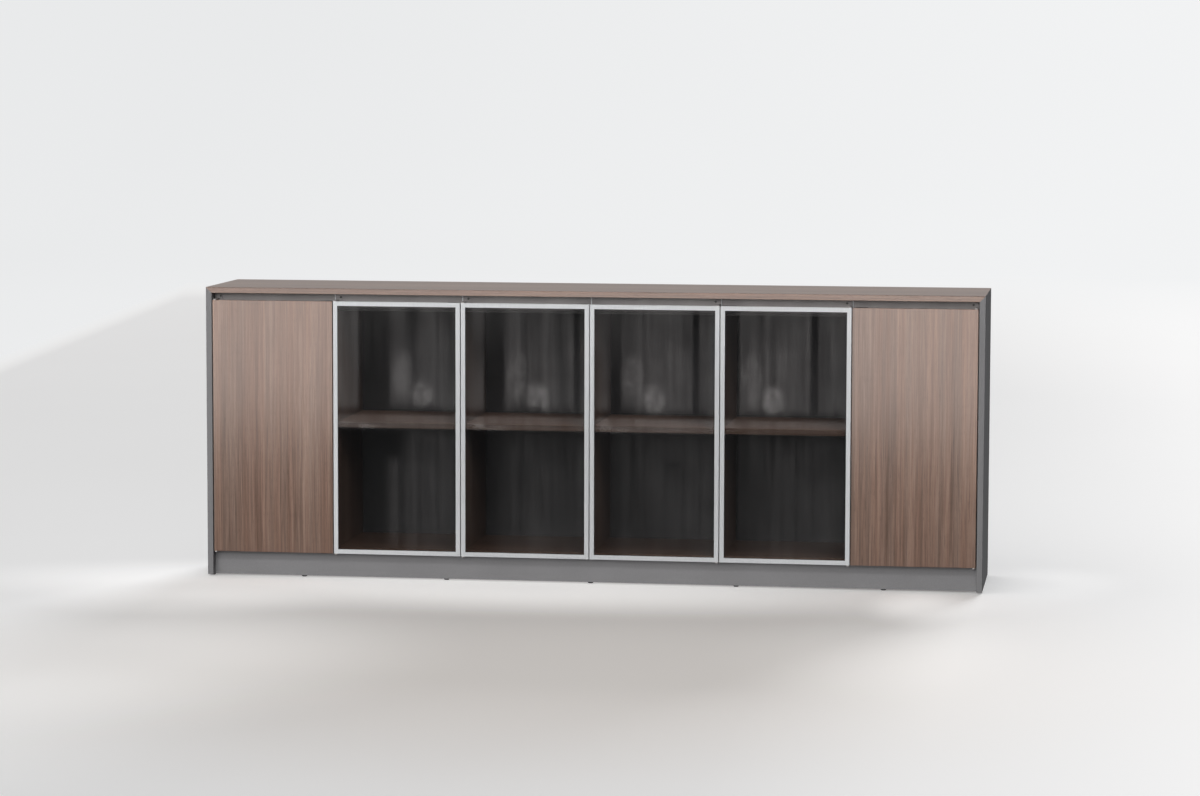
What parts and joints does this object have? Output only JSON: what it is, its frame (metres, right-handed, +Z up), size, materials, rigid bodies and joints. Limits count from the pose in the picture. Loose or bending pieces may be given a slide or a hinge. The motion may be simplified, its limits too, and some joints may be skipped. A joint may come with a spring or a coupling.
{
  "type": "office credenza",
  "caption": "Long low office credenza: walnut-faced end doors, smoked-glass middle doors in thin aluminium frames, a finger recess under the top and a recessed plinth.",
  "frame": {"origin": "on the floor, under the middle of the cabinet: the bottom centre of its box", "axes": "+X along the cabinet's length, to the right seen from the front; +Y from the doors to the back; +Z up"},
  "size_m": [2.4, 0.4, 0.9],
  "materials": {
    "walnut_laminate": "matte woodgrain melamine, straight grain",
    "grey_laminate": "matte plain grey melamine",
    "frame_aluminium": "satin anodised",
    "recess_channel": "matte grey powder coat",
    "smoked_glass": "clear smoked, polished",
    "steel_fittings": "zinc plated",
    "bright_clip": "bright anodised",
    "black_plastic": "moulded",
    "nylon": "moulded",
    "gasket_rubber": "soft black",
    "clear_bumper": "soft translucent",
    "beech_dowel": "bare beech"
  },
  "bodies": {
    "carcass": {"back_panel_left": "grey_laminate", "back_panel_middle": "grey_laminate", "back_panel_right": "grey_laminate", "back_panel_screws": "steel_fittings", "bottom_panel": "walnut_laminate", "bracket_screws": "steel_fittings", "cam_bolts": "steel_fittings", "cam_locks": "steel_fittings", "channel_clips": "bright_clip", "divider_1": "walnut_laminate", "divider_2": "walnut_laminate", "divider_3": "walnut_laminate", "divider_4": "walnut_laminate", "divider_5": "walnut_laminate", "door_bumpers": "clear_bumper", "dowels": "beech_dowel", "floor_glides": "nylon", "grip_channels": "recess_channel", "hinge_brackets": "recess_channel", "hinge_pins": "steel_fittings", "magnetic_catches": "black_plastic", "plinth_braces": "grey_laminate", "plinth_front_board": "grey_laminate", "plinth_rear_board": "grey_laminate", "shelf_1": "walnut_laminate", "shelf_2": "walnut_laminate", "shelf_3": "walnut_laminate", "shelf_4": "walnut_laminate", "shelf_5": "walnut_laminate", "shelf_6": "walnut_laminate", "shelf_pins": "steel_fittings", "side_panel_left": "grey_laminate", "side_panel_right": "grey_laminate", "top_panel": "walnut_laminate"},
    "door_1": {"door_1_panel": "walnut_laminate", "door_1_pivot_bushes": "nylon", "door_1_strike_plate": "steel_fittings"},
    "door_2": {"door_2_corner_fittings": "nylon", "door_2_frame": "frame_aluminium", "door_2_gasket": "gasket_rubber", "door_2_glass": "smoked_glass", "door_2_strike_plate": "steel_fittings"},
    "door_3": {"door_3_corner_fittings": "nylon", "door_3_frame": "frame_aluminium", "door_3_gasket": "gasket_rubber", "door_3_glass": "smoked_glass", "door_3_strike_plate": "steel_fittings"},
    "door_4": {"door_4_corner_fittings": "nylon", "door_4_frame": "frame_aluminium", "door_4_gasket": "gasket_rubber", "door_4_glass": "smoked_glass", "door_4_strike_plate": "steel_fittings"},
    "door_5": {"door_5_corner_fittings": "nylon", "door_5_frame": "frame_aluminium", "door_5_gasket": "gasket_rubber", "door_5_glass": "smoked_glass", "door_5_strike_plate": "steel_fittings"},
    "door_6": {"door_6_panel": "walnut_laminate", "door_6_pivot_bushes": "nylon", "door_6_strike_plate": "steel_fittings"}
  },
  "joints": [
    {"name": "door_1_hinge", "type": "hinge", "parent": "carcass", "child": "door_1", "pos_m": [-1.1735, -0.195, 0.469], "axis": [0, 0, -1], "range_deg": [0, 105]},
    {"name": "door_2_hinge", "type": "hinge", "parent": "carcass", "child": "door_2", "pos_m": [-0.793, -0.195, 0.469], "axis": [0, 0, -1], "range_deg": [0, 105]},
    {"name": "door_3_hinge", "type": "hinge", "parent": "carcass", "child": "door_3", "pos_m": [-0.393, -0.195, 0.469], "axis": [0, 0, -1], "range_deg": [0, 105]},
    {"name": "door_4_hinge", "type": "hinge", "parent": "carcass", "child": "door_4", "pos_m": [0.393, -0.195, 0.469], "axis": [0, 0, 1], "range_deg": [0, 105]},
    {"name": "door_5_hinge", "type": "hinge", "parent": "carcass", "child": "door_5", "pos_m": [0.793, -0.195, 0.469], "axis": [0, 0, 1], "range_deg": [0, 105]},
    {"name": "door_6_hinge", "type": "hinge", "parent": "carcass", "child": "door_6", "pos_m": [1.1735, -0.195, 0.469], "axis": [0, 0, 1], "range_deg": [0, 105]}
  ]
}
